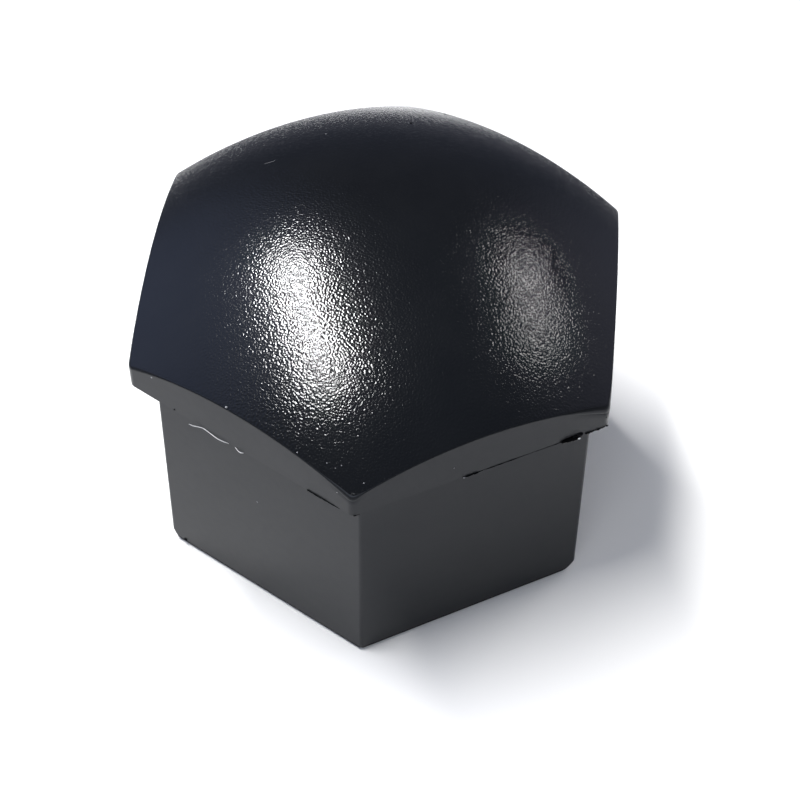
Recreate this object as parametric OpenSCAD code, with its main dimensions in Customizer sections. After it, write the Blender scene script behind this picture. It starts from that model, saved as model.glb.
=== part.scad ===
// Push-on cover cap for the hexagon of a wheel bolt or wheel nut.
// One moulded piece: a slim hexagonal skirt that slides over the hexagon, a wider
// hexagonal head that a puller hooks under, and a shallow spherical dome.
// Frame: origin at the centre of the open mouth, +Z up to the dome, a corner on +X.

/* [Head] */
// Width of the head across its flats
head_af = 22; // [21.4:0.1:26]
// Radius of the head's upright corners
head_corner_r = 0.6; // [0.2:0.05:1.5]
// Height of the head's side at its corners, below the dome
rim_h = 1.2; // [0.8:0.1:4]
// Radius of the spherical dome
dome_r = 20.2; // [17:0.1:40]
// Height of the bevel between the dome and each flat
dome_bevel_h = 0.15; // [0.05:0.05:0.5]
// How far that bevel reaches in over the dome
dome_bevel_w = 0.15; // [0.05:0.05:0.5]

/* [Skirt] */
// Height of the skirt, from the open mouth to the ledge under the head
skirt_h = 12.25; // [11:0.25:20]
// Width of the skirt across its flats, where it meets the head
skirt_top_af = 20.1; // [19.6:0.1:20.8]
// Width of the skirt across its flats, at the open mouth
skirt_mouth_af = 20.45; // [19.9:0.05:21]
// How far the skirt's sharp corners are turned down
skirt_corner_cut = 0.08; // [0.02:0.01:0.3]
// Height of the bevel that breaks the skirt's corners at the mouth
mouth_bevel_h = 0.3; // [0.1:0.1:1.5]
// How far that bevel reaches in at a corner
mouth_bevel_w = 0.2; // [0.1:0.05:0.8]

/* [Socket] */
// Width across flats of the bolt hexagon that the cap covers
bolt_af = 17; // [16:0.1:17.6]
// Clearance between the bolt hexagon and each flat of the socket
socket_clearance = 0.15; // [0.05:0.05:0.3]
// Depth of the socket, from the mouth to the shoulder that the bolt meets
socket_depth = 11.5; // [9:0.25:13]
// Radius in the socket's upright corners
socket_corner_r = 0.5; // [0.2:0.1:1.5]
// Height of the lead-in bevel at the mouth of the socket
lead_in_h = 0.8; // [0.2:0.1:2]
// How far the lead-in widens the socket on each side
lead_in_w = 0.5; // [0.1:0.1:0.9]
// Radius of each upright gripping rib
rib_r = 0.6; // [0.3:0.05:0.9]
// How far each gripping rib stands out of its flat
rib_proud = 0.2; // [0.05:0.05:0.29]
// Distance between the two gripping ribs of a flat
rib_spacing = 5; // [3:0.5:7]
// Height of the gripping ribs' lower end above the mouth
rib_start = 2; // [1:0.25:5]

/* [Crown] */
// Thickness of the plastic under the dome
dome_wall = 1.6; // [1:0.1:2.5]
// Diameter of the round recess above the shoulder
recess_d = 13.5; // [8:0.5:15]

/* [Gate mark] */
// Length of the torn gate mark in the head's lower edge
gate_l = 0.95; // [0.4:0.05:2]
// Height of the gate mark
gate_h = 0.3; // [0.1:0.05:0.6]
// Depth of the gate mark behind the flat
gate_depth = 0.3; // [0.1:0.05:0.8]
// Distance from the middle of the gate mark to the sharp corner of the head
gate_to_corner = 1.9; // [1.5:0.1:6]

/* [Hidden] */

// Sides of the hexagon and the angle from one to the next
sides = 6;
side_angle = 360 / sides;
half_angle = side_angle / 2;
// Fine round surfaces
round_fn = 96;
// Extra length of a cut past the surface it starts from
past = 1;

// Heights of the corner of the dome's edge, of the dome's centre and of its top
dome_edge_z = skirt_h + rim_h;
dome_centre_z = dome_edge_z - sqrt(pow(dome_r, 2) - pow(corner_radius(head_af), 2));
top_z = dome_centre_z + dome_r;

socket_af = bolt_af + 2 * socket_clearance;
plastic_black = [0.10, 0.10, 0.11];

// Distance from the axis to a sharp corner of a hexagon
function corner_radius(across_flats) = across_flats / 2 / cos(half_angle);

// Point at a distance and an angle from the axis
function polar(distance, angle) = distance * [cos(angle), sin(angle)];

// Width of the leaning skirt across its flats at a height
function skirt_af(z) = skirt_mouth_af + (skirt_top_af - skirt_mouth_af) * z / skirt_h;

// Hexagon with a corner on +X and its corners rounded
module rounded_hexagon(across_flats, corner_r) {
    inner = corner_radius(across_flats - 2 * corner_r);
    polygon([for (corner = [0:sides - 1], turn = [-1, 1])
        polar(inner, side_angle * corner)
            + polar(corner_r, side_angle * corner + turn * half_angle)]);
    for (corner = [0:sides - 1])
        rotate(side_angle * corner + 180)
            translate([-inner, 0])
                circle(r = corner_r, $fn = round_fn);
}

// Hexagonal block whose flats lean: three wedge-shaped bars, crossed
module tapered_hexagon(low_af, high_af, height) {
    length = 2 * max(low_af, high_af);
    intersection_for(pair = [0:sides / 2 - 1])
        rotate([90, 0, half_angle + side_angle * pair])
            linear_extrude(height = length, center = true)
                polygon([
                    [-low_af / 2, 0],
                    [low_af / 2, 0],
                    [high_af / 2, height],
                    [-high_af / 2, height]
                ]);
}

// Slim lower part, its corners turned down as on a machined nut. It runs on into the
// head, so that the two are one body.
module skirt() {
    root_z = skirt_h + rim_h / 2;
    intersection() {
        tapered_hexagon(skirt_mouth_af, skirt_af(root_z), root_z);
        rotate_extrude($fn = round_fn)
            polygon([
                [0, 0],
                [corner_radius(skirt_mouth_af) - skirt_corner_cut - mouth_bevel_w, 0],
                [corner_radius(skirt_af(mouth_bevel_h)) - skirt_corner_cut, mouth_bevel_h],
                [corner_radius(skirt_af(root_z)) - skirt_corner_cut, root_z],
                [0, root_z]
            ]);
    }
}

// Everything that lies inside the bevel of one flat. The dome is a sphere, so the
// bevel's edge is a circle round the flat's normal, and the bevel is a cone round it.
module inside_bevel() {
    on_flat = [sqrt(pow(dome_r, 2) - pow(head_af / 2, 2)) - dome_bevel_h, head_af / 2];
    across = head_af / 2 - dome_bevel_w;
    on_dome = [sqrt(pow(dome_r, 2) - pow(across, 2)), across];
    slope = on_dome - on_flat;
    clear_of_dome = on_flat + slope * (dome_r + past - on_flat[0]) / slope[0];
    rotate([-90, 0, 0])
        rotate_extrude($fn = round_fn)
            polygon([
                [0, on_flat[1] - slope[1]],
                on_flat - slope,
                clear_of_dome,
                [clear_of_dome[0], -head_af],
                [0, -head_af]
            ]);
}

// Hexagonal head under the spherical dome
module head() {
    intersection() {
        translate([0, 0, skirt_h])
            linear_extrude(height = top_z - skirt_h)
                rounded_hexagon(head_af, head_corner_r);
        translate([0, 0, dome_centre_z])
            rotate([0, 0, half_angle])
                sphere(r = dome_r, $fn = round_fn);
        translate([0, 0, dome_centre_z])
            intersection_for(side = [0:sides - 1])
                rotate([0, 0, side_angle * side])
                    inside_bevel();
    }
}

// Socket for the bolt hexagon, with two gripping ribs on every flat
module socket() {
    translate([0, 0, -past])
        linear_extrude(height = rib_start + past)
            rounded_hexagon(socket_af, socket_corner_r);
    translate([0, 0, rib_start])
        linear_extrude(height = socket_depth - rib_start)
            difference() {
                rounded_hexagon(socket_af, socket_corner_r);
                for (side = [0:sides - 1], turn = [-1, 1])
                    rotate(half_angle + side_angle * side)
                        translate([socket_af / 2 + rib_r - rib_proud, turn * rib_spacing / 2])
                            circle(r = rib_r, $fn = round_fn);
            }
    tapered_hexagon(socket_af + 2 * lead_in_w, socket_af, lead_in_h);
}

// Round recess that keeps the wall under the dome even
module crown_recess() {
    intersection() {
        translate([0, 0, socket_depth - past])
            cylinder(d = recess_d, h = top_z - socket_depth, $fn = round_fn);
        translate([0, 0, dome_centre_z])
            sphere(r = dome_r - dome_wall, $fn = round_fn);
    }
}

// Torn gate mark: a slot with round ends in the lower edge of the front right flat
module gate_mark() {
    half_l = gate_l / 2 - gate_h / 2;
    along_flat = corner_radius(head_af) / 2 - gate_to_corner;
    rotate([0, 0, -half_angle])
        translate([head_af / 2 - gate_depth, along_flat, skirt_h])
            rotate([90, 0, 90])
                linear_extrude(height = gate_depth + past) {
                    square([2 * half_l, gate_h], center = true);
                    for (turn = [-1, 1])
                        translate([turn * half_l, 0])
                            circle(d = gate_h, $fn = round_fn);
                }
}

module cap() {
    color(plastic_black)
        difference() {
            union() {
                skirt();
                difference() {
                    head();
                    gate_mark();
                }
            }
            socket();
            crown_recess();
        }
}

cap();
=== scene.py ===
import math
import random

import bpy
import numpy as np
from mathutils import Matrix, Vector


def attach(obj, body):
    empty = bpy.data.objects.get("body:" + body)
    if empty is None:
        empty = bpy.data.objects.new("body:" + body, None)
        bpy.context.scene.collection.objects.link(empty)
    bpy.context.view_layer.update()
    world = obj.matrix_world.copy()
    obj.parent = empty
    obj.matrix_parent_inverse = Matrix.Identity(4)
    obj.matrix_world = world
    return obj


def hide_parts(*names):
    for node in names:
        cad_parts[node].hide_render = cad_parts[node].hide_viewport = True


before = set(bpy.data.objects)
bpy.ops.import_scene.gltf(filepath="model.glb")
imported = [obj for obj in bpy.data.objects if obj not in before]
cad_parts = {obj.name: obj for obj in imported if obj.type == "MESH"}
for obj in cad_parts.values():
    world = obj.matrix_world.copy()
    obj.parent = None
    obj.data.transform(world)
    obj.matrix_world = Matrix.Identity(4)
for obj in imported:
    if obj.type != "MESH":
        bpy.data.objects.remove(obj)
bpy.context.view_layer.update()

# Everything is worked out in millimetres and turned into metres as a mesh is made
MM = 0.001

# Sizes of the moulding, as in the part's source
HEAD_AF = 22.0
RIM_H = 1.2
DOME_R = 20.2
SKIRT_H = 12.25
SKIRT_TOP_AF = 20.1
SKIRT_MOUTH_AF = 20.45
SOCKET_AF = 17.3
SOCKET_DEPTH = 11.5
SOCKET_CORNER_R = 0.5
LEAD_IN_H = 0.8
LEAD_IN_W = 0.5
RIB_R = 0.6
RIB_PROUD = 0.2
RIB_SPACING = 5.0
RIB_START = 2.0
DOME_WALL = 1.6
RECESS_D = 13.5
GATE_L = 0.95
GATE_H = 0.3
GATE_DEPTH = 0.3
GATE_TO_CORNER = 1.9

# Edges as the photo shows them, finer than in the part's source
HEAD_CORNER_R = 0.45
SKIRT_CORNER_R = 0.2
# Edge between dome and flat: its width and drop, and how much of the corner's radius it takes
EDGE_W = 0.035
EDGE_DROP = 0.05
EDGE_CORNER = 0.15
# Raised lip under that edge: how far it stands back, and its height
LIP_BACK = 0.014
LIP_H = 0.065
# Radius in the corner between skirt and ledge
ROOT_R = 0.08
# Mouth: how far and how high its corners are broken, and the radius of its outer edge
MOUTH_TURN = 0.22
MOUTH_TURN_H = 0.75
MOUTH_ROUND = 0.28
# Small bevels inside the socket, and the height of the ribs' lower ends
INSIDE_EDGE = 0.03
RIB_LEAD_H = 0.3

# The photo shows the two halves of the mould a little out of line at the ledge: offset and turn
SKIRT_ASIDE = (0.19, -0.045)
SKIRT_TURN = math.radians(0.4)

COS_30 = math.cos(math.radians(30))
HEAD_CORNER = HEAD_AF / 2 / COS_30
DOME_EDGE_Z = SKIRT_H + RIM_H
DOME_CENTRE_Z = DOME_EDGE_Z - math.sqrt(DOME_R ** 2 - HEAD_CORNER ** 2)

# Directions of the two flats that the photo shows, in degrees
LEFT_FLAT = -90
RIGHT_FLAT = -30

# Material slots of the moulding
DOME, SIDES, SOCKET, MOUTH = range(4)


# Forms of the moulding

def sector_angles():
    """Angles in degrees from one corner to the next, closer together at the corner and the ribs."""
    half = [0.12 * i for i in range(13)]
    half += [1.7, 2.1, 2.7, 3.4, 4.2, 5.0, 5.9, 6.8, 7.7, 8.6, 9.5, 10.4, 11.0]
    half += [11.25, 11.5, 11.8, 12.2, 12.7, 13.3, 13.9, 14.5, 15.1, 15.6, 16.0, 16.3, 16.6, 16.9]
    half += [17.8, 18.9, 20.1, 21.3, 22.5, 23.7, 25.0, 26.3, 27.5, 28.8]
    return half + [30.0] + [60.0 - a for a in reversed(half[1:])]


THETA = np.radians([60.0 * k + a for k in range(6) for a in sector_angles()])
FROM_CORNER = np.abs((THETA + np.pi / 6) % (np.pi / 3) - np.pi / 6)


def hexagon(af, corner_r):
    """Distance from the axis to a hexagon with rounded corners."""
    inner = (af / 2 - corner_r) / COS_30
    tangent = np.arctan2(corner_r / 2, inner + corner_r * COS_30)
    flat = af / 2 / np.cos(np.pi / 6 - FROM_CORNER)
    under = np.maximum(corner_r ** 2 - (inner * np.sin(FROM_CORNER)) ** 2, 0)
    return np.where(FROM_CORNER < tangent, inner * np.cos(FROM_CORNER) + np.sqrt(under), flat)


def sphere_z(r, radius):
    """Height of a sphere about the dome's centre, at a distance from the axis."""
    return DOME_CENTRE_Z + np.sqrt(radius ** 2 - r ** 2)


def ribbed_socket(proud):
    """Distance from the axis to the socket's wall where its ribs stand out by that much."""
    wall = hexagon(SOCKET_AF, SOCKET_CORNER_R)
    for side in range(6):
        normal = math.radians(30 + 60 * side)
        for turn in (-1, 1):
            along = SOCKET_AF / 2 + RIB_R - proud
            x = along * math.cos(normal) - turn * RIB_SPACING / 2 * math.sin(normal)
            y = along * math.sin(normal) + turn * RIB_SPACING / 2 * math.cos(normal)
            forward = x * np.cos(THETA) + y * np.sin(THETA)
            left = forward ** 2 - (x * x + y * y - RIB_R ** 2)
            hit = forward - np.sqrt(np.maximum(left, 0))
            wall = np.where((left > 0) & (hit > 0), np.minimum(wall, hit), wall)
    return wall


def near(theta_deg, spread_before, spread_after):
    """1 at an angle, falling smoothly to 0 over the spread on each side, in degrees."""
    away = (np.degrees(THETA) - theta_deg + 180) % 360 - 180
    t = np.where(away < 0, -away / spread_before, away / spread_after)
    t = np.clip(1 - t, 0, 1)
    return t * t * (3 - 2 * t)


def cos_sin(angle_deg):
    """Cosine and sine of an angle in degrees."""
    a = math.radians(angle_deg)
    return math.cos(a), math.sin(a)


def head_rings(ring):
    """Dome, its edge and the head's upright sides. The edge is fuller near three of the corners."""
    fuller = near(0, 12, 6) + 0.6 * near(-60, 8, 3)
    width = EDGE_W + 0.12 * fuller + 0.06 * near(-120, 6, 13)
    drop = EDGE_DROP + 0.24 * fuller + 0.05 * near(-120, 6, 13)
    lip = LIP_BACK * fuller

    inner = hexagon(HEAD_AF - 2 * width, HEAD_CORNER_R - EDGE_CORNER)
    for s in [0.004, 0.012] + list(np.linspace(0.03, 0.94, 42)) + [0.965, 0.985, 1.0]:
        ring(inner * s, sphere_z(inner * s, DOME_R), DOME)
    for a in (15, 30, 45, 60, 75, 90):
        t = width * (1 - math.sin(math.radians(a)))
        r = hexagon(HEAD_AF - 2 * t, HEAD_CORNER_R - np.minimum(t, EDGE_CORNER))
        fall = drop * (1 - np.sqrt(np.maximum(1 - (1 - t / width) ** 2, 0)))
        ring(r, sphere_z(r, DOME_R) - fall, SIDES)
    outer = hexagon(HEAD_AF, HEAD_CORNER_R)
    edge = sphere_z(outer, DOME_R) - drop
    ring(outer - lip, edge - 0.03, SIDES)
    ring(outer - lip * 0.5, edge - 0.05, SIDES)
    ring(outer, edge - LIP_H, SIDES)
    for s in (0.75, 0.5, 0.25, 0.1, 0.0):
        ring(outer, SKIRT_H + (edge - LIP_H - SKIRT_H) * s, SIDES)
    root = hexagon(SKIRT_TOP_AF, SKIRT_CORNER_R)
    ring((outer + root) / 2, SKIRT_H, SIDES, 0.5)


def skirt_rings(ring):
    """The leaning skirt from the ledge down to its mouth, whose corners are broken unevenly."""
    root = hexagon(SKIRT_TOP_AF, SKIRT_CORNER_R)
    for a in (0, 30, 60, 90):
        c, s = cos_sin(a)
        ring(root + ROOT_R * (1 - s), SKIRT_H - ROOT_R * (1 - c), SIDES, 1.0)
    mouth = hexagon(SKIRT_MOUTH_AF, SKIRT_CORNER_R)
    broken = MOUTH_TURN * (1 - 0.8 * near(-60, 20, 20) + 0.5 * near(0, 20, 20))

    def turned_down(r, z):
        return np.minimum(r, mouth.max() - broken * max(1 - z / MOUTH_TURN_H, 0) ** 1.5)

    heights = list(np.linspace(SKIRT_H - 0.5, 1.2, 17)) + [0.9, 0.75, 0.65, 0.55, 0.45, 0.37]
    for z in heights + [MOUTH_ROUND]:
        af = SKIRT_MOUTH_AF + (SKIRT_TOP_AF - SKIRT_MOUTH_AF) * z / SKIRT_H
        ring(turned_down(hexagon(af, SKIRT_CORNER_R), z), z, SIDES, 1.0)
    # The mouth's rounded outer edge takes the darker material, painted shade along the foot
    for a in (12, 24, 36, 48, 60, 72, 82, 90):
        c, s = cos_sin(a)
        z = MOUTH_ROUND * (1 - s)
        ring(turned_down(mouth, z) - MOUTH_ROUND * (1 - c), z, MOUTH, 1.0)
    lead = hexagon(SOCKET_AF + 2 * LEAD_IN_W, SOCKET_CORNER_R)
    ring((mouth + lead) / 2, 0, SIDES, 0.5)


def socket_rings(ring):
    """Lead-in, socket with its ribs, shoulder, and the recess up to its domed ceiling."""
    lead = hexagon(SOCKET_AF + 2 * LEAD_IN_W, SOCKET_CORNER_R)
    ring(lead + INSIDE_EDGE, 0, SOCKET)
    ring(lead, INSIDE_EDGE, SOCKET)
    plain = hexagon(SOCKET_AF, SOCKET_CORNER_R)
    ring((lead + plain) / 2, LEAD_IN_H / 2, SOCKET)
    ring(plain + 0.02, LEAD_IN_H - INSIDE_EDGE, SOCKET)
    ring(plain, LEAD_IN_H + INSIDE_EDGE, SOCKET)
    ring(plain, RIB_START, SOCKET)
    for s in (0.5, 1.0):
        ring(ribbed_socket(RIB_PROUD * s), RIB_START + RIB_LEAD_H * s, SOCKET)
    ribbed = ribbed_socket(RIB_PROUD)
    for z in (4, 6, 8, 10, SOCKET_DEPTH - 0.1):
        ring(ribbed, z, SOCKET)
    ring(ribbed - 0.04, SOCKET_DEPTH - 0.02, SOCKET)
    hole = RECESS_D / 2
    ring((ribbed + hole) / 2, SOCKET_DEPTH, SOCKET)
    ring(hole + 0.05, SOCKET_DEPTH, SOCKET)
    ring(hole, SOCKET_DEPTH + 0.05, SOCKET)
    top = float(sphere_z(hole, DOME_R - DOME_WALL))
    ring(hole, (SOCKET_DEPTH + top) / 2, SOCKET)
    ring(hole, top - 0.15, SOCKET)
    ring(hole - 0.06, top - 0.02, SOCKET)
    for s in (0.97, 0.9, 0.75, 0.6, 0.45, 0.3, 0.15, 0.05):
        ring(hole * s, sphere_z(hole * s, DOME_R - DOME_WALL), SOCKET)


def cap_rings():
    """The moulding's section as closed rings from the top of the dome round to its ceiling.

    A ring is its distance from the axis and its height at every angle, its material, and how
    much of the skirt's mismatch it takes.
    """
    rings = []

    def ring(r, z, material, aside=0.0):
        shape = THETA.shape
        rings.append((np.broadcast_to(r, shape), np.broadcast_to(z, shape), material, aside))

    head_rings(ring)
    skirt_rings(ring)
    socket_rings(ring)
    return rings


def lattice_mesh(name, rings, top, bottom):
    """Mesh of closed rings joined by quads, with a point at each end."""
    n = len(THETA)
    points = []
    for r, z, material, aside in rings:
        turned = THETA + SKIRT_TURN * aside
        x = r * np.cos(turned) + SKIRT_ASIDE[0] * aside
        y = r * np.sin(turned) + SKIRT_ASIDE[1] * aside
        points.append(np.stack([x, y, z], axis=1))
    points = np.concatenate(points + [np.array([top, bottom])]) * MM
    faces, materials = [], []
    for i in range(len(rings) - 1):
        a, b = i * n, (i + 1) * n
        for j in range(n):
            k = (j + 1) % n
            faces.append((a + j, b + j, b + k, a + k))
            materials.append(rings[i + 1][2])
    last = (len(rings) - 1) * n
    top_point, bottom_point = len(rings) * n, len(rings) * n + 1
    for j in range(n):
        k = (j + 1) % n
        faces.append((top_point, j, k))
        materials.append(rings[0][2])
        faces.append((bottom_point, last + k, last + j))
        materials.append(rings[-1][2])
    mesh = new_mesh(name, points.tolist(), faces)
    mesh.polygons.foreach_set("material_index", materials)
    return mesh


def new_mesh(name, points, faces):
    mesh = bpy.data.meshes.new(name)
    mesh.from_pydata(points, [], faces)
    mesh.update()
    return mesh


def new_object(name, data):
    obj = bpy.data.objects.new(name, data)
    bpy.context.scene.collection.objects.link(obj)
    return obj


def smooth(mesh, angle_deg):
    """Smooth shading, with every edge that folds by more than the angle left sharp."""
    mesh.polygons.foreach_set("use_smooth", [True] * len(mesh.polygons))
    mesh.set_sharp_from_angle(angle=math.radians(angle_deg))


# Places on the cap, in metres

def direction(az, el):
    """Unit vector of an azimuth and an elevation in degrees."""
    a, e = math.radians(az), math.radians(el)
    return Vector((math.cos(e) * math.cos(a), math.cos(e) * math.sin(a), math.sin(e)))


def on_flat(normal_deg, along, z, out=0.0):
    """Point at a flat of the head: along it from its middle, at a height, and out from it."""
    a = math.radians(normal_deg)
    n = Vector((math.cos(a), math.sin(a), 0))
    t = Vector((-math.sin(a), math.cos(a), 0))
    p = n * (HEAD_AF / 2 + out) + t * along
    return Vector((p.x, p.y, z)) * MM


def on_side(normal_deg, along, z, out=0.0):
    """Such a point and the flat's outward normal."""
    return on_flat(normal_deg, along, z, out), direction(normal_deg, 0)


def on_dome(x, y):
    """Point of the dome and its outward normal."""
    p = Vector((x, y, float(sphere_z(math.hypot(x, y), DOME_R))))
    return p * MM, (p - Vector((0, 0, DOME_CENTRE_Z))).normalized()


# Materials

# The middle of a noise's values, which nearly all of its surface has
NOISE_LOW, NOISE_HIGH = 0.3, 0.7


def new_material(name, specular):
    material = bpy.data.materials.new(name)
    material.use_nodes = True
    tree = material.node_tree
    shader = tree.nodes["Principled BSDF"]
    shader.inputs["IOR"].default_value = 1.5
    shader.inputs["Specular IOR Level"].default_value = specular
    return material, tree, shader


def object_noise(tree, scale, detail):
    """Noise texture in object coordinates, its scale in features per millimetre."""
    coords = tree.nodes.new("ShaderNodeTexCoord")
    noise = tree.nodes.new("ShaderNodeTexNoise")
    noise.inputs["Scale"].default_value = scale / MM
    noise.inputs["Detail"].default_value = detail
    noise.inputs["Roughness"].default_value = 0.5
    tree.links.new(coords.outputs["Object"], noise.inputs["Vector"])
    return noise.outputs["Fac"]


def ramp(tree, source, low, high):
    """Colour that goes from low to high with a noise."""
    node = tree.nodes.new("ShaderNodeValToRGB")
    stops = ((NOISE_LOW, low), (NOISE_HIGH, high))
    for element, (position, colour) in zip(node.color_ramp.elements, stops):
        element.position = position
        element.color = (*colour, 1)
    tree.links.new(source, node.inputs["Fac"])
    return node.outputs["Color"]


def to_range(tree, source, low, high, from_low=NOISE_LOW, from_high=NOISE_HIGH):
    """Number that goes from low to high with a noise or another source."""
    node = tree.nodes.new("ShaderNodeMapRange")
    node.inputs["From Min"].default_value = from_low
    node.inputs["From Max"].default_value = from_high
    node.inputs["To Min"].default_value = low
    node.inputs["To Max"].default_value = high
    tree.links.new(source, node.inputs["Value"])
    return node.outputs["Result"]


def bump(tree, height, depth_mm):
    """Normals of a relief as deep as that."""
    node = tree.nodes.new("ShaderNodeBump")
    node.inputs["Strength"].default_value = 1.0
    node.inputs["Distance"].default_value = depth_mm * MM
    tree.links.new(height, node.inputs["Height"])
    return node.outputs["Normal"]


def plastic(name, cloud, low, high, roughness, specular, grain=None, depth_mm=0.0):
    """Plastic whose colour goes from low to high in clouds and whose roughness varies in a range.

    Clouds and grain are (features per millimetre, detail). The roughness follows the grain where
    there is one, which also stands out by the depth, and the clouds otherwise.
    """
    material, tree, shader = new_material(name, specular)
    noise = object_noise(tree, *cloud)
    tree.links.new(ramp(tree, noise, low, high), shader.inputs["Base Color"])
    if grain:
        noise = object_noise(tree, *grain)
        tree.links.new(bump(tree, noise, depth_mm), shader.inputs["Normal"])
    tree.links.new(to_range(tree, noise, *roughness), shader.inputs["Roughness"])
    return material


def loose_matter(name, low, high, specular=0.5):
    """Whitened plastic, dust or fibre, its colour a little uneven."""
    material, tree, shader = new_material(name, specular)
    noise = object_noise(tree, 6.0, 2)
    tree.links.new(ramp(tree, noise, low, high), shader.inputs["Base Color"])
    shader.inputs["Roughness"].default_value = 0.6
    return material


def grained_plastic():
    """Moulded against a spark-eroded face: fine pebbles that break a highlight into sparks."""
    return plastic("grained_dome", (0.5, 3), (0.0031, 0.0033, 0.0036), (0.0041, 0.0043, 0.0046),
                   roughness=(0.14, 0.17), specular=0.47, grain=(10.5, 0), depth_mm=0.0144)


def satin_plastic():
    """From the smooth parts of the mould."""
    satin = plastic("satin_sides", (0.35, 4), (0.0065, 0.0068, 0.0072), (0.0085, 0.0088, 0.0092),
                    roughness=(0.28, 0.33), specular=0.19, grain=(2.5, 2), depth_mm=0.0012)
    shader = satin.node_tree.nodes["Principled BSDF"]
    shader.inputs["Specular Tint"].default_value = (0.80, 0.86, 1.0, 1)
    return satin


def socket_plastic():
    """Inside the socket, duller where the mould's core was rubbed dry."""
    return plastic("socket_inside", (0.6, 4), (0.007, 0.007, 0.0075), (0.012, 0.012, 0.0125),
                   roughness=(0.38, 0.52), specular=0.5, grain=(3.0, 3), depth_mm=0.008)


def mouth_shade_plastic():
    """The mouth's rounded outer edge, darker than the sides and nearly without reflection: painted
    shade for the contact shadow along the foot.
    """
    return plastic("mouth_edge_shade", (3.0, 3), (0.0012, 0.0013, 0.0015), (0.0026, 0.0028, 0.0030),
                   roughness=(0.7, 0.9), specular=0.01)


def flash_plastic():
    """Thin black flash, glossy where the mould's halves met."""
    return plastic("flash_black", (4.0, 2), (0.0035, 0.0036, 0.0040), (0.0060, 0.0062, 0.0066),
                   roughness=(0.16, 0.24), specular=0.2)


# The moulding

def gate_cutter():
    """Capsule that cuts the gate mark out of the lower edge of the right flat."""
    half = GATE_L / 2 - GATE_H / 2
    middle = HEAD_CORNER / 2 - GATE_TO_CORNER
    steps = 24
    outline = []
    for end in (1, -1):
        for i in range(steps + 1):
            c, s = cos_sin(-90 * end + 180 * i / steps)
            outline.append((middle + end * half + GATE_H / 2 * c, SKIRT_H + GATE_H / 2 * s))
    n = len(outline)
    points = [tuple(on_flat(RIGHT_FLAT, u, z, out)) for out in (-GATE_DEPTH, 1) for u, z in outline]
    faces = [tuple(reversed(range(n))), tuple(range(n, 2 * n))]
    faces += [(i, (i + 1) % n, n + (i + 1) % n, n + i) for i in range(n)]
    return new_object("gate_cutter", new_mesh("gate_cutter", points, faces))


def build_cap():
    top = (0, 0, DOME_CENTRE_Z + DOME_R)
    ceiling = (0, 0, DOME_CENTRE_Z + DOME_R - DOME_WALL)
    mesh = lattice_mesh("cap_moulding", cap_rings(), top, ceiling)
    for material in (grained_plastic(), satin_plastic(), socket_plastic(), mouth_shade_plastic()):
        mesh.materials.append(material)
    cap = new_object("cap_moulding", mesh)
    cutter = gate_cutter()
    cut = cap.modifiers.new("gate", "BOOLEAN")
    cut.operation = "DIFFERENCE"
    cut.object = cutter
    cut.solver = "EXACT"
    graph = bpy.context.evaluated_depsgraph_get()
    done = bpy.data.meshes.new_from_object(cap.evaluated_get(graph))
    cap.modifiers.clear()
    cap.data = done
    bpy.data.objects.remove(cutter, do_unlink=True)
    smooth(done, angle_deg=38)
    return cap


cap = build_cap()
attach(cap, "root")
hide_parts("cap")


# Small things on the moulding: flash and burrs at the ledge, the torn gate, specks of dust, and a
# thin dark shelf at the front corner that is painted shade

chance = random.Random(17)
# How uneven torn edges and crumbs are
RAGGED = 0.25

black = flash_plastic()
white = loose_matter("flash_white", (0.42, 0.42, 0.42), (0.62, 0.62, 0.61))
dust = loose_matter("dust_pale", (0.16, 0.16, 0.17), (0.34, 0.34, 0.35))
soot = loose_matter("dust_dark", (0.003, 0.003, 0.004), (0.006, 0.006, 0.007), specular=0.05)
fibre = loose_matter("fibre_grey", (0.07, 0.07, 0.075), (0.12, 0.12, 0.125), specular=0.1)


def add_piece(name, mesh, material):
    mesh.materials.append(material)
    obj = new_object(name, mesh)
    smooth(mesh, angle_deg=40)
    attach(obj, "root")


def fin(name, normal_deg, widths, thick, rise=0.0):
    """Ragged shelf of black flash at the ledge, or of painted shade where the ledge shades the
    skirt.

    Widths are (place along the flat, how far it stands out there).
    """
    steps, root, tip, corners = 6, -0.1, 0.006, 5
    edge = []
    for (u0, w0), (u1, w1) in zip(widths, widths[1:]):
        for i in range(steps):
            t = i / steps
            w = w0 + (w1 - w0) * t
            edge.append((u0 + (u1 - u0) * t, w * (1 + RAGGED * chance.uniform(-1, 1))))
    edge.append(widths[-1])
    half = thick / 2
    points, faces = [], []
    for u, w in edge:
        for out, z in ((root, half), (w - tip, half), (w, 0), (w - tip, -half), (root, -half)):
            points.append(tuple(on_flat(normal_deg, u, SKIRT_H + rise + z, out)))
    for i in range(len(edge) - 1):
        for k in range(corners):
            a, b = i * corners + k, i * corners + (k + 1) % corners
            faces.append((a, b, b + corners, a + corners))
    last = corners * (len(edge) - 1)
    faces += [tuple(reversed(range(corners))), tuple(range(last, last + corners))]
    add_piece(name, new_mesh(name, points, faces), black)


def thread(name, points, radius, material):
    """Round thread through points, its ends thin; radius in mm."""
    curve = bpy.data.curves.new(name, "CURVE")
    curve.dimensions = "3D"
    curve.bevel_depth = radius * MM
    curve.bevel_resolution = 2
    curve.use_fill_caps = True
    spline = curve.splines.new("NURBS")
    spline.points.add(len(points) - 1)
    for i, (target, p) in enumerate(zip(spline.points, points)):
        target.co = (*p, 1)
        target.radius = 0.5 if i in (0, len(points) - 1) else 1.0
    spline.order_u = 3
    spline.use_endpoint_u = True
    spline.resolution_u = 6
    holder = new_object(name + "_curve", curve)
    graph = bpy.context.evaluated_depsgraph_get()
    mesh = bpy.data.meshes.new_from_object(holder.evaluated_get(graph))
    bpy.data.objects.remove(holder, do_unlink=True)
    add_piece(name, mesh, material)


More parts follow.
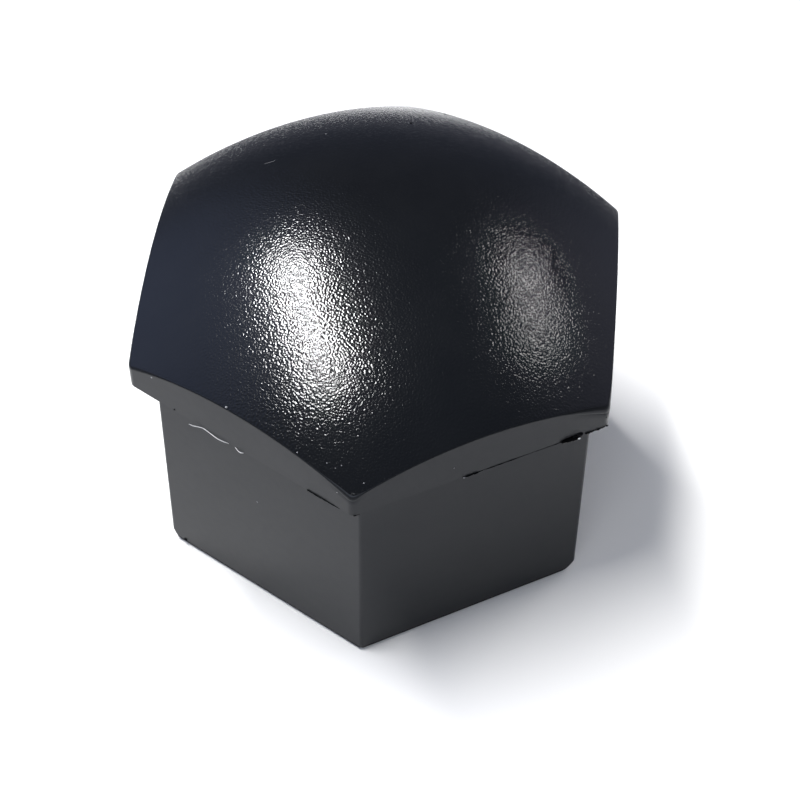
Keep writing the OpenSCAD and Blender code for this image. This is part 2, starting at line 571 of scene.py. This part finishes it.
def specks(name, places, material):
    """Crumbs of dust in one piece; a place is ((point, outward normal), size in mm)."""
    levels, around = (-0.5, 0.0, 0.5, 0.9), 7
    wide, thick, high = 1.0, 0.75, 0.6
    points, faces = [], []
    for (at, normal), size in places:
        turn = normal.to_track_quat("Z", "Y")
        start = len(points)
        spin = chance.uniform(0, 6.28)
        for h in levels:
            for k in range(around):
                a = spin + 2 * math.pi * k / around
                r = math.sqrt(1 - h * h) * (1 + RAGGED * chance.uniform(-1, 1))
                local = Vector((wide * r * math.cos(a), thick * r * math.sin(a), high * h))
                points.append(tuple(at + turn @ (local * size * MM)))
        for i in range(len(levels) - 1):
            for k in range(around):
                a, b = start + i * around + k, start + i * around + (k + 1) % around
                faces.append((a, b, b + around, a + around))
        last = start + (len(levels) - 1) * around
        faces.append(tuple(reversed(range(start, start + around))))
        faces.append(tuple(range(last, last + around)))
    add_piece(name, new_mesh(name, points, faces), material)


# Left flat: a curl of whitened flash below the ledge's edge, and a dark shelf near the front corner
CURL_R = 0.019
thread("flash_curl_1", [on_flat(LEFT_FLAT, u, z, out) for u, z, out in (
    (-2.76, 12.15, 0.15), (-2.54, 12.17, 0.15), (-2.28, 12.22, 0.07), (-2.05, 12.245, 0.015),
    (-1.88, 12.23, 0.015), (-1.60, 12.20, 0.035), (-1.30, 12.175, 0.06), (-1.05, 12.18, 0.065),
    (-0.80, 12.20, 0.045), (-0.56, 12.235, 0.012))], CURL_R, white)
thread("flash_curl_2", [on_flat(LEFT_FLAT, u, z, out) for u, z, out in (
    (-0.20, 12.24, 0.01), (-0.10, 12.21, 0.035), (0.05, 12.165, 0.07), (0.18, 12.175, 0.07),
    (0.30, 12.21, 0.03))], CURL_R, white)
fin("flash_left", LEFT_FLAT, [
    (3.85, 0.015), (3.95, 0.065), (4.1, 0.05), (4.7, 0.045), (5.3, 0.03), (5.65, 0.01)], 0.02, 0.03)
# Painted shade: a thin dark shelf at the front corner, for the shadow under the ledge there
fin("front_corner_shade", RIGHT_FLAT, [(-6.3, 0.006), (-6.2, 0.018), (-6.0, 0.012)], 0.02)

# Dome: a short fibre
FIBRE_R = 0.014
thread("fibre_1", [on_dome(x, y)[0] for x, y in (
    (-7.63, 0.76), (-7.55, 0.80), (-7.42, 0.93), (-7.32, 1.03), (-7.27, 1.14), (-7.32, 1.23))],
    FIBRE_R, fibre)

# Right flat: a thin dark seam that runs to the torn gate, and burrs beyond it
fin("flash_right", RIGHT_FLAT, [
    (-0.9, 0.02), (-0.82, 0.06), (-0.35, 0.07), (-0.15, 0.02), (0.1, 0.012), (0.4, 0.035),
    (1.2, 0.025), (1.5, 0.04), (1.9, 0.014), (2.5, 0.008), (2.9, 0.016), (3.5, 0.02),
    (3.95, 0.03)], 0.02)
fin("gate_web", RIGHT_FLAT, [
    (3.9, 0.05), (3.98, 0.13), (4.3, 0.16), (4.6, 0.17), (4.8, 0.15), (4.93, 0.08), (4.97, 0.02)],
    0.05)
fin("burr_1", RIGHT_FLAT, [
    (5.15, 0.02), (5.25, 0.09), (5.5, 0.05), (5.65, 0.03), (5.85, 0.07), (6.0, 0.03), (6.1, 0.04),
    (6.22, 0.01)], 0.04)

specks("dust_light", [
    (on_side(LEFT_FLAT, -4.90, 13.77), 0.05), (on_dome(-0.58, -10.93), 0.06),
    (on_dome(3.32, -10.90), 0.03), (on_dome(4.66, -10.54), 0.03), (on_dome(5.24, -10.27), 0.035),
    (on_dome(5.08, -10.49), 0.025), (on_dome(6.42, -10.23), 0.04),
    (on_side(LEFT_FLAT, 5.53, 13.38), 0.03), (on_side(RIGHT_FLAT, -1.47, 13.19), 0.035),
    (on_side(RIGHT_FLAT, -0.95, 12.24, 0.03), 0.055), (on_dome(-6.57, 4.24), 0.035),
    (on_side(LEFT_FLAT, 0.11, 7.42, -0.83), 0.045)], dust)
specks("gate_crumb", [(on_side(RIGHT_FLAT, 4.79, 12.26, 0.15), 0.065)], white)
specks("dust_black", [
    (on_side(LEFT_FLAT, -3.72, 12.34), 0.05), (on_side(RIGHT_FLAT, 4.88, 12.34, 0.02), 0.15),
    (on_side(RIGHT_FLAT, 4.6, 12.33), 0.1), (on_side(RIGHT_FLAT, 6.30, 12.27), 0.07),
    (on_side(RIGHT_FLAT, 6.20, 12.90), 0.03), (on_side(RIGHT_FLAT, 6.22, 12.98), 0.025),
    (on_dome(-3.96, 7.71), 0.07), (on_dome(-3.99, 10.76), 0.06),
    (on_side(LEFT_FLAT, -4.84, 0.37, -0.70), 0.11)], soot)


# Floor, surroundings, lights and camera

# Radius of the floor's disc, which just fills the camera's view
FLOOR_R = 0.047
# Height above the mouth that the lights point at
LIT_POINT_Z = 0.014

# Soft light of the room: colour, and the direction and width of its lobe in degrees
ROOM_COLOUR = (0.074, 0.086, 0.128)
ROOM_LOBES = (
    ((0.05, 0.07, 0.10), (0, 90), 60),
    ((0.35, 0.43, 0.70), (196, 28), 48),
    ((0.29, 0.29, 0.38), (60, 17), 42),
    ((0.76, 0.76, 0.78), (0, -90), 87),
)
SEEN_COLOUR = (1.05, 1.05, 1.05)

# The camera as solved from the photo: where it stands (mm), how it looks, its lens and framing
CAMERA_AT = (35.59045, -49.23714, 79.05500)
CAMERA_LOOKS = (-0.327202, 0.532101, -0.780902)
CAMERA_ROLL = math.radians(3.685)
CAMERA_LENS = 84.478
CAMERA_SHIFT = (-0.08766, 0.03134)


def build_floor():
    edge = [tuple(direction(a, 0) * FLOOR_R) for a in range(0, 360, 3)]
    mesh = new_mesh("floor", edge, [tuple(range(len(edge)))])
    material, _, shader = new_material("floor", specular=0.0)
    shader.inputs["Base Color"].default_value = (0.86, 0.85, 0.822, 1)
    shader.inputs["Roughness"].default_value = 0.9
    mesh.materials.append(material)
    return new_object("floor", mesh)


def soft_light(name, ends, width_deg, distance, radiance, colour):
    """Oblong light whose length runs between two directions (azimuth, elevation) from the cap."""
    a, b = direction(*ends[0]), direction(*ends[1])
    middle = (a + b).normalized()
    data = bpy.data.lights.new(name, "AREA")
    data.shape = "RECTANGLE"
    data.size = 2 * distance * math.tan(a.angle(b) / 2)
    data.size_y = 2 * distance * math.tan(math.radians(width_deg) / 2)
    data.energy = radiance * math.pi * data.size * data.size_y
    data.color = colour
    lamp = new_object(name, data)
    across = middle.cross(b - a).normalized()
    turn = Matrix((across.cross(middle).normalized(), across, middle)).transposed()
    at = middle * distance + Vector((0, 0, LIT_POINT_Z))
    lamp.matrix_world = Matrix.Translation(at) @ turn.to_4x4()


def background(tree, colour):
    """Light of one colour from all round."""
    node = tree.nodes.new("ShaderNodeBackground")
    node.inputs["Color"].default_value = (*colour, 1)
    return node


def lobe(tree, coords, towards, width):
    """1 in a direction of the room, falling to 0 at the width from it, in degrees."""
    dot = tree.nodes.new("ShaderNodeVectorMath")
    dot.operation = "DOT_PRODUCT"
    dot.inputs[1].default_value = direction(*towards)
    tree.links.new(coords, dot.inputs[0])
    return to_range(tree, dot.outputs["Value"], 0, 1, math.cos(math.radians(width)), 1.0)


def surroundings():
    """A dim, bluish room, lighter to the left, the back and the table; pale to the camera."""
    world = bpy.data.worlds.new("room")
    world.use_nodes = True
    tree = world.node_tree
    tree.nodes.clear()
    coords = tree.nodes.new("ShaderNodeTexCoord").outputs["Generated"]
    total = background(tree, ROOM_COLOUR).outputs["Background"]
    for colour, towards, width in ROOM_LOBES:
        glow = background(tree, colour)
        tree.links.new(lobe(tree, coords, towards, width), glow.inputs["Strength"])
        add = tree.nodes.new("ShaderNodeAddShader")
        tree.links.new(total, add.inputs[0])
        tree.links.new(glow.outputs["Background"], add.inputs[1])
        total = add.outputs["Shader"]
    path = tree.nodes.new("ShaderNodeLightPath")
    mix = tree.nodes.new("ShaderNodeMixShader")
    tree.links.new(path.outputs["Is Camera Ray"], mix.inputs["Fac"])
    tree.links.new(total, mix.inputs[1])
    tree.links.new(background(tree, SEEN_COLOUR).outputs["Background"], mix.inputs[2])
    out = tree.nodes.new("ShaderNodeOutputWorld")
    tree.links.new(mix.outputs["Shader"], out.inputs["Surface"])
    bpy.context.scene.world = world


def build_camera():
    forward = Vector(CAMERA_LOOKS).normalized()
    level_right = forward.cross(Vector((0, 0, 1))).normalized()
    level_up = level_right.cross(forward)
    c, s = math.cos(CAMERA_ROLL), math.sin(CAMERA_ROLL)
    right = level_right * c + level_up * s
    up = level_up * c - level_right * s
    data = bpy.data.cameras.new("camera")
    data.sensor_width = 36
    data.sensor_fit = "HORIZONTAL"
    data.lens = CAMERA_LENS
    data.shift_x, data.shift_y = CAMERA_SHIFT
    data.clip_start = 0.001
    data.clip_end = 20
    camera = new_object("camera", data)
    turn = Matrix((right, up, -forward)).transposed()
    camera.matrix_world = Matrix.Translation(Vector(CAMERA_AT) * MM) @ turn.to_4x4()
    bpy.context.scene.camera = camera


floor = build_floor()
soft_light("window", ends=((160, 48), (251, 72)), width_deg=4.5, distance=0.5, radiance=89.0,
           colour=(0.98, 0.98, 0.985))
soft_light("far_window", ends=((88, 37), (46, 47)), width_deg=2.5, distance=0.6, radiance=25.0,
           colour=(1.0, 0.98, 0.96))
soft_light("fill", ends=((-92, 17), (-46, 17)), width_deg=25, distance=0.6, radiance=4.35,
           colour=(0.94, 0.97, 1.01))
surroundings()
build_camera()
# The photo's lit surface is plain white, which this view leaves white
bpy.context.scene.view_settings.view_transform = "Standard"
